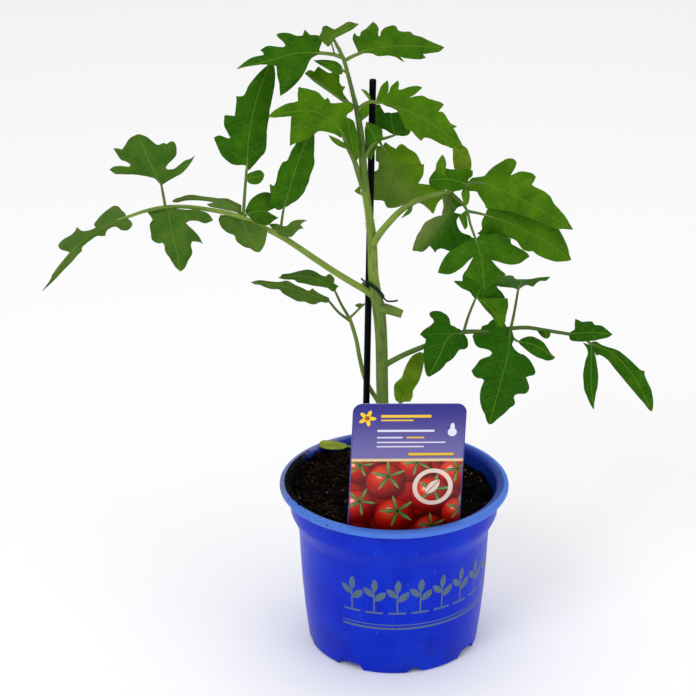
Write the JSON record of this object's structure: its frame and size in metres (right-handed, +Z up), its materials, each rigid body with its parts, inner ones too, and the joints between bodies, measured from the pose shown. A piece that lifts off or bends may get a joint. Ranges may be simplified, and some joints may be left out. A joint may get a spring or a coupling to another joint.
{
  "type": "potted tomato plant",
  "caption": "Young tomato plant tied to a thin rod in a round tapered plastic pot, with spreading lobed leaves and a flat label standing in the soil.",
  "frame": {"origin": "on the ground, in the middle of the pot's foot", "axes": "+Z up along the pot's axis; the label's print faces -Y; the long leaf reaches to -X"},
  "size_m": [0.3099, 0.1246, 0.346],
  "materials": {
    "pot": "semi-matt blue",
    "soil": "dark crumbly peat",
    "stem": "green, finely haired",
    "stake": "black, satin",
    "tie": "dark green coated wire",
    "label": "printed, glossy",
    "leaf": "deep green, quilted and finely haired",
    "seed_leaf": "yellow-green, smooth"
  },
  "bodies": {
    "root": {"pot": "pot", "soil": "soil", "stem": "stem", "stake": "stake", "tie": "tie", "label": "label", "leaf_long_left": "leaf", "leaf_low_left": "leaf", "leaf_low_right": "leaf", "leaf_right": "leaf", "leaf_mid_right": "leaf", "leaf_upper_right": "leaf", "leaf_upper_left": "leaf", "leaf_crown_left": "leaf", "leaf_top_left": "leaf", "leaf_top_right": "leaf", "seed_leaf_right": "seed_leaf", "seed_leaf_left": "seed_leaf"}
  },
  "joints": []
}
